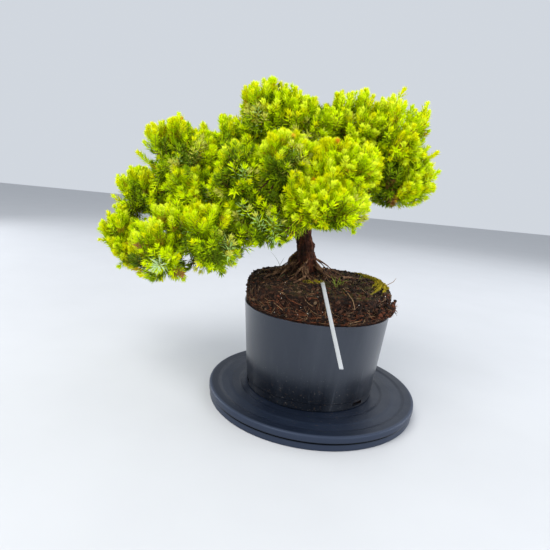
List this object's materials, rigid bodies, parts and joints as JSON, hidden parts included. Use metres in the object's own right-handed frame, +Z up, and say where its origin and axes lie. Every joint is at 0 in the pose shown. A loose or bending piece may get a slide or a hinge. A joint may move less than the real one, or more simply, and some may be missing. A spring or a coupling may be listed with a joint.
{
  "type": "potted dwarf juniper on a turntable",
  "caption": "Young spreading juniper trained as a starter bonsai, in a plain nursery pot with its root ball standing proud, on a flat turning stand.",
  "frame": {"origin": "centre of the turntable's flat underside, on its turning axis", "axes": "+Z up along the turning axis, -Y towards the front where the marker points, -X towards the long low side of the crown"},
  "size_m": [0.402, 0.343, 0.3705],
  "materials": {
    "stand": "satin",
    "pot": "satin",
    "soil": "matte",
    "moss": "matte",
    "bark": "matte",
    "marker": "satin",
    "needles": "matte"
  },
  "bodies": {
    "base": {"turntable_base": "stand"},
    "plant": {"bough_back_left": "bark", "bough_back_low": "bark", "bough_back_middle": "bark", "bough_back_right": "bark", "bough_crest_right": "bark", "bough_crest_shoulder": "bark", "bough_far_left": "bark", "bough_far_left_low": "bark", "bough_low_left_inner": "bark", "bough_low_left_outer": "bark", "bough_low_right": "bark", "bough_mid_left": "bark", "bough_middle_front": "bark", "bough_middle_left": "bark", "bough_middle_low": "bark", "bough_right_front": "bark", "bough_right_low": "bark", "bough_right_tip": "bark", "bough_upper_left": "bark", "bough_upper_right": "bark", "foliage_back_left": "needles", "foliage_back_low": "needles", "foliage_back_middle": "needles", "foliage_back_right": "needles", "foliage_crest_middle": "needles", "foliage_crest_right": "needles", "foliage_crest_shoulder": "needles", "foliage_far_left": "needles", "foliage_far_left_low": "needles", "foliage_low_left_inner": "needles", "foliage_low_left_outer": "needles", "foliage_low_right": "needles", "foliage_mid_left": "needles", "foliage_middle_front": "needles", "foliage_middle_left": "needles", "foliage_middle_low": "needles", "foliage_right_front": "needles", "foliage_right_low": "needles", "foliage_right_tip": "needles", "foliage_upper_left": "needles", "foliage_upper_right": "needles", "marker": "marker", "moss_front": "moss", "moss_right": "moss", "pot": "pot", "root_back_left": "bark", "root_back_right": "bark", "root_ball": "soil", "root_front": "bark", "root_front_right": "bark", "root_left": "bark", "root_left_high": "bark", "root_right": "bark", "root_right_low": "bark", "trunk": "bark", "turntable_plate": "stand"}
  },
  "joints": [
    {"name": "plate_spin", "type": "hinge", "parent": "base", "child": "plant", "pos_m": [0, 0, 0.0088], "axis": [0, 0, 1], "continuous": true}
  ]
}
